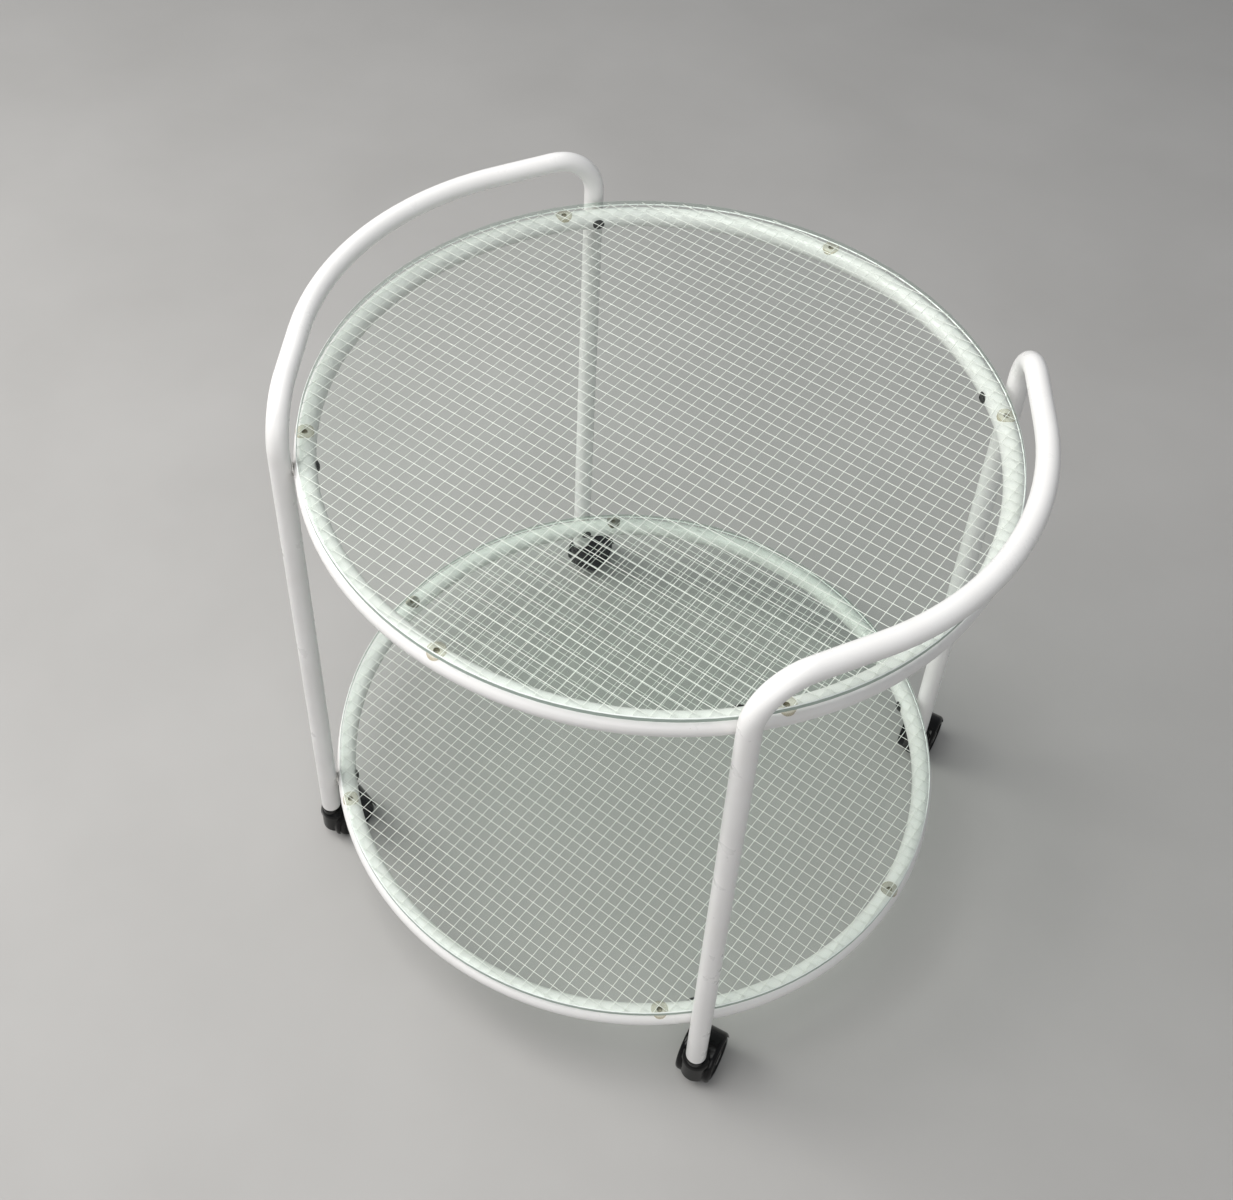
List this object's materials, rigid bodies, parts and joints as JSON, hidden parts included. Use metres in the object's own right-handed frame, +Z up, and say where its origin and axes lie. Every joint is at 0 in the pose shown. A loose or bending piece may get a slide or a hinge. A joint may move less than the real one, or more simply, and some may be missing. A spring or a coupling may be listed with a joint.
{
  "type": "round serving trolley",
  "caption": "Round serving trolley with tiered wired-glass shelves resting on tube rings, bent-tube side frames that form the handles, and hooded swivel casters.",
  "frame": {"origin": "on the floor, midway between the legs and under the middle of both glass shelves", "axes": "+X towards the right handle, +Y to the rear, +Z up; the handles stand at both ends of X"},
  "size_m": [0.746, 0.707, 0.72],
  "materials": {
    "white_enamel": "gloss white enamel on steel tube",
    "wired_glass": "clear float with a square wire mesh cast in",
    "clear_pad": "clear vinyl, slightly yellowed",
    "black_steel": "blackened screw",
    "white_plastic": "moulded",
    "bright_steel": "zinc plated",
    "black_hood": "gloss moulded",
    "black_wheel": "satin nylon tread"
  },
  "bodies": {
    "trolley": {"left_side_frame": "white_enamel", "right_side_frame": "white_enamel", "upper_ring": "white_enamel", "lower_ring": "white_enamel", "upper_glass": "wired_glass", "lower_glass": "wired_glass", "upper_pads": "clear_pad", "lower_pads": "clear_pad", "ring_screws": "black_steel", "spacer_washers": "white_plastic", "rivet_nuts": "bright_steel", "caster_sockets": "white_plastic", "grip_rings": "bright_steel", "front_left_stem": "bright_steel", "front_right_stem": "bright_steel", "rear_left_stem": "bright_steel", "rear_right_stem": "bright_steel"},
    "front_left_caster": {"front_left_hood": "black_hood", "front_left_axle": "bright_steel"},
    "front_left_wheel_a": {"front_left_wheel_a": "black_wheel", "front_left_cap_a": "black_hood"},
    "front_left_wheel_b": {"front_left_wheel_b": "black_wheel", "front_left_cap_b": "black_hood"},
    "front_right_caster": {"front_right_hood": "black_hood", "front_right_axle": "bright_steel"},
    "front_right_wheel_a": {"front_right_wheel_a": "black_wheel", "front_right_cap_a": "black_hood"},
    "front_right_wheel_b": {"front_right_wheel_b": "black_wheel", "front_right_cap_b": "black_hood"},
    "rear_left_caster": {"rear_left_hood": "black_hood", "rear_left_axle": "bright_steel"},
    "rear_left_wheel_a": {"rear_left_wheel_a": "black_wheel", "rear_left_cap_a": "black_hood"},
    "rear_left_wheel_b": {"rear_left_wheel_b": "black_wheel", "rear_left_cap_b": "black_hood"},
    "rear_right_caster": {"rear_right_hood": "black_hood", "rear_right_axle": "bright_steel"},
    "rear_right_wheel_a": {"rear_right_wheel_a": "black_wheel", "rear_right_cap_a": "black_hood"},
    "rear_right_wheel_b": {"rear_right_wheel_b": "black_wheel", "rear_right_cap_b": "black_hood"}
  },
  "joints": [
    {"name": "front_left_swivel", "type": "hinge", "parent": "trolley", "child": "front_left_caster", "pos_m": [-0.25845, -0.25845, 0.05], "axis": [0, 0, 1], "continuous": true},
    {"name": "front_left_wheel_a_spin", "type": "hinge", "parent": "front_left_caster", "child": "front_left_wheel_a", "pos_m": [-0.26632, -0.23381, 0.025], "axis": [-0.9703, 0.2419, 0], "continuous": true},
    {"name": "front_left_wheel_b_spin", "type": "hinge", "parent": "front_left_caster", "child": "front_left_wheel_b", "pos_m": [-0.23993, -0.24039, 0.025], "axis": [-0.9703, 0.2419, 0], "continuous": true},
    {"name": "front_right_swivel", "type": "hinge", "parent": "trolley", "child": "front_right_caster", "pos_m": [0.25845, -0.25845, 0.05], "axis": [0, 0, 1], "continuous": true},
    {"name": "front_right_wheel_a_spin", "type": "hinge", "parent": "front_right_caster", "child": "front_right_wheel_a", "pos_m": [0.24227, -0.23827, 0.025], "axis": [-0.9925, -0.1219, 0], "continuous": true},
    {"name": "front_right_wheel_b_spin", "type": "hinge", "parent": "front_right_caster", "child": "front_right_wheel_b", "pos_m": [0.26926, -0.23495, 0.025], "axis": [-0.9925, -0.1219, 0], "continuous": true},
    {"name": "rear_left_swivel", "type": "hinge", "parent": "trolley", "child": "rear_left_caster", "pos_m": [-0.25845, 0.25845, 0.05], "axis": [0, 0, 1], "continuous": true},
    {"name": "rear_left_wheel_a_spin", "type": "hinge", "parent": "rear_left_caster", "child": "rear_left_wheel_a", "pos_m": [-0.27008, 0.28155, 0.025], "axis": [-0.9962, 0.0872, 0], "continuous": true},
    {"name": "rear_left_wheel_b_spin", "type": "hinge", "parent": "rear_left_caster", "child": "rear_left_wheel_b", "pos_m": [-0.24298, 0.27918, 0.025], "axis": [-0.9962, 0.0872, 0], "continuous": true},
    {"name": "rear_right_swivel", "type": "hinge", "parent": "trolley", "child": "rear_right_caster", "pos_m": [0.25845, 0.25845, 0.05], "axis": [0, 0, 1], "continuous": true},
    {"name": "rear_right_wheel_a_spin", "type": "hinge", "parent": "rear_right_caster", "child": "rear_right_wheel_a", "pos_m": [0.24298, 0.27918, 0.025], "axis": [-0.9962, -0.0872, 0], "continuous": true},
    {"name": "rear_right_wheel_b_spin", "type": "hinge", "parent": "rear_right_caster", "child": "rear_right_wheel_b", "pos_m": [0.27008, 0.28155, 0.025], "axis": [-0.9962, -0.0872, 0], "continuous": true}
  ]
}
